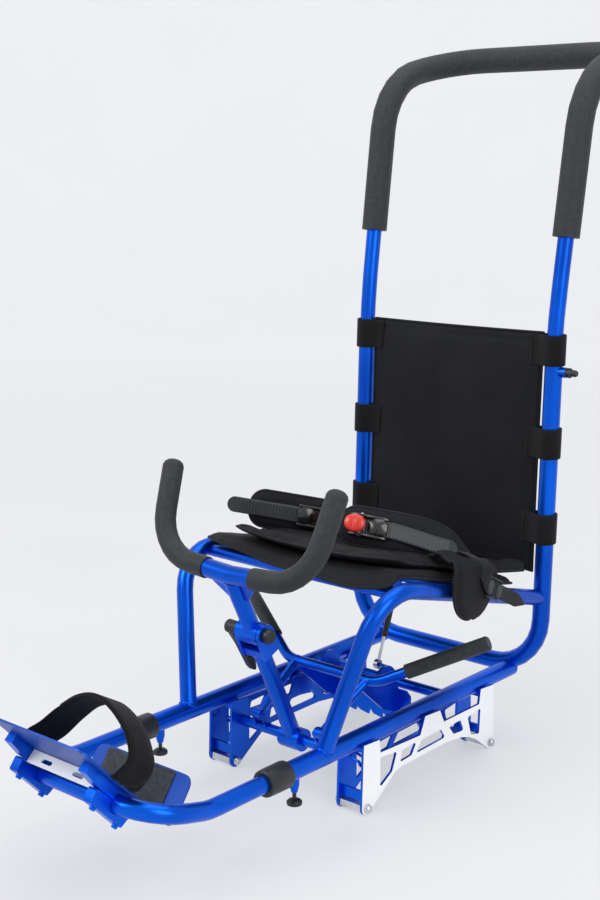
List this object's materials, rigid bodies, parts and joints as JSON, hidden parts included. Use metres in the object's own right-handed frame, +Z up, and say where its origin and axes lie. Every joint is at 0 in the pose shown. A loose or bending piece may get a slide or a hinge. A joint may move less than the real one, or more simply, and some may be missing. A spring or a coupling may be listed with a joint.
{
  "type": "adaptive sled",
  "caption": "Sit-on adaptive snow sled: bent tube frame on ski brackets, padded seat and back, tilting handlebar, telescoping push handle, strapped footrest and hand brake.",
  "frame": {"origin": "bottom centre of the whole sled at rest, level with the lowest points of the bracket feet", "axes": "+Z up, -Y forward (towards the footrest), +X to the side of the push handle's lock knob"},
  "size_m": [0.4874, 1.1154, 1.0968],
  "materials": {
    "blue_paint": "gloss metallic powder coat",
    "white_paint": "satin white plate",
    "grey_foam": "matt closed-cell foam",
    "black_nylon": "woven nylon over foam",
    "black_plastic": "satin black moulding",
    "bright_steel": "bright zinc plate",
    "red_plastic": "semi-gloss red moulding",
    "grip_rubber": "grained grip rubber"
  },
  "bodies": {
    "frame": {"rail_tube_right": "blue_paint", "rail_tube_left": "blue_paint", "rear_hoop_tube": "blue_paint", "seat_side_tube_right": "blue_paint", "seat_side_tube_left": "blue_paint", "seat_front_cross_tube": "blue_paint", "seat_middle_cross_tube": "blue_paint", "front_lower_cross_tube": "blue_paint", "rear_lower_cross_tube": "blue_paint", "bracket_outer_plate_right": "white_paint", "bracket_outer_plate_left": "white_paint", "bracket_inner_plate_right": "blue_paint", "bracket_inner_plate_left": "blue_paint", "binding_bar_front_right": "bright_steel", "binding_bar_front_left": "bright_steel", "binding_bar_rear_right": "bright_steel", "binding_bar_rear_left": "bright_steel", "rail_collar_right": "black_plastic", "rail_collar_left": "black_plastic", "column_base_sleeve": "blue_paint", "column_lower_tube": "blue_paint", "hinge_bolt": "black_plastic", "seat_base_pad": "black_nylon", "seat_cushion": "black_nylon", "back_cushion": "black_nylon", "hip_pad_right": "black_nylon", "hip_pad_left": "black_nylon", "ladder_strap_right": "black_plastic", "ladder_strap_left": "black_plastic", "ratchet_frame_right": "black_plastic", "ratchet_frame_left": "black_plastic", "belt_webbing": "black_nylon"},
    "footrest_slide": {"front_u_tube": "blue_paint"},
    "footrest": {"foot_plate": "blue_paint", "heel_grip_pad": "grip_rubber", "footrest_clamp_right": "blue_paint", "footrest_clamp_left": "blue_paint", "footrest_clamp_cap_right": "blue_paint", "footrest_clamp_cap_left": "blue_paint", "footrest_slotted_web": "white_paint", "toe_strap": "black_nylon"},
    "handlebar": {"column_upper_tube": "blue_paint", "handlebar_tube": "blue_paint", "handlebar_sleeve": "blue_paint", "handlebar_grip_right": "grey_foam", "handlebar_grip_left": "grey_foam"},
    "clamp_lever": {"clamp_lever": "black_plastic"},
    "levelling_foot_right": {"levelling_foot_right": "black_plastic"},
    "levelling_foot_left": {"levelling_foot_left": "black_plastic"},
    "brake_lever": {"brake_lever_bar": "blue_paint", "brake_grip_right": "grey_foam", "brake_grip_left": "grey_foam", "brake_blade": "blue_paint"},
    "strut_cylinder": {"strut_cylinder": "black_plastic"},
    "strut_rod": {"strut_rod": "bright_steel"},
    "push_handle": {"push_handle_tube": "blue_paint", "handle_foam": "grey_foam"},
    "lock_knob": {"lock_knob": "black_plastic"},
    "ratchet_lever_right": {"ratchet_lever_right": "red_plastic"},
    "ratchet_lever_left": {"ratchet_lever_left": "red_plastic"}
  },
  "joints": [
    {"name": "footrest_extension", "type": "slide", "parent": "frame", "child": "footrest_slide", "axis": [0, -1, 0], "range_m": [-0.06, 0.07]},
    {"name": "footrest_tilt", "type": "hinge", "parent": "footrest_slide", "child": "footrest", "pos_m": [0, -0.4946, 0.136], "axis": [1, 0, 0], "range_deg": [-6, 20]},
    {"name": "handlebar_tilt", "type": "hinge", "parent": "frame", "child": "handlebar", "pos_m": [0, -0.1626, 0.255], "axis": [1, 0, 0], "range_deg": [-15, 75]},
    {"name": "clamp_lever_turn", "type": "hinge", "parent": "frame", "child": "clamp_lever", "pos_m": [-0.045, -0.1626, 0.255], "axis": [1, 0, 0], "range_deg": [-60, 120]},
    {"name": "levelling_foot_right_screw", "type": "slide", "parent": "frame", "child": "levelling_foot_right", "axis": [0, 0, 1], "range_m": [-0.01, 0.004]},
    {"name": "levelling_foot_left_screw", "type": "slide", "parent": "frame", "child": "levelling_foot_left", "axis": [0, 0, 1], "range_m": [-0.01, 0.004]},
    {"name": "brake_lever_pull", "type": "hinge", "parent": "frame", "child": "brake_lever", "pos_m": [0, -0.0866, 0.096], "axis": [-1, 0, 0], "range_deg": [0, 12], "stiffness_Nm_per_rad": 20, "springref_deg": -8.59},
    {"name": "strut_swing", "type": "hinge", "parent": "frame", "child": "strut_cylinder", "pos_m": [0.03, 0.1254, 0.252], "axis": [1, 0, 0], "range_deg": [0, 9]},
    {"name": "strut_rod_slide", "type": "slide", "parent": "strut_cylinder", "child": "strut_rod", "axis": [0, -0.359, -0.9333], "range_m": [0, 0.034]},
    {"name": "push_handle_slide", "type": "slide", "parent": "frame", "child": "push_handle", "axis": [0, 0.031, 0.9995], "range_m": [0, 0.12]},
    {"name": "lock_knob_pull", "type": "slide", "parent": "frame", "child": "lock_knob", "axis": [1, 0, 0], "range_m": [0, 0.008], "stiffness_N_per_m": 400, "springref_m": -0.003},
    {"name": "ratchet_lever_right_lift", "type": "hinge", "parent": "frame", "child": "ratchet_lever_right", "pos_m": [0.04051, 0.02626, 0.3826], "axis": [-0.1083, 0.4229, 0.8997], "range_deg": [0, 50], "stiffness_Nm_per_rad": 0.05, "springref_deg": -11.46},
    {"name": "ratchet_lever_left_lift", "type": "hinge", "parent": "frame", "child": "ratchet_lever_left", "pos_m": [-0.06034, 0.05947, 0.3684], "axis": [-0.0316, -0.2254, -0.9738], "range_deg": [0, 50], "stiffness_Nm_per_rad": 0.05, "springref_deg": -11.46}
  ],
  "couplings": [
    {"joint": "strut_swing", "follows": "brake_lever_pull", "ratio": 0.70392},
    {"joint": "strut_rod_slide", "follows": "brake_lever_pull", "m_per_rad": 0.15647}
  ]
}
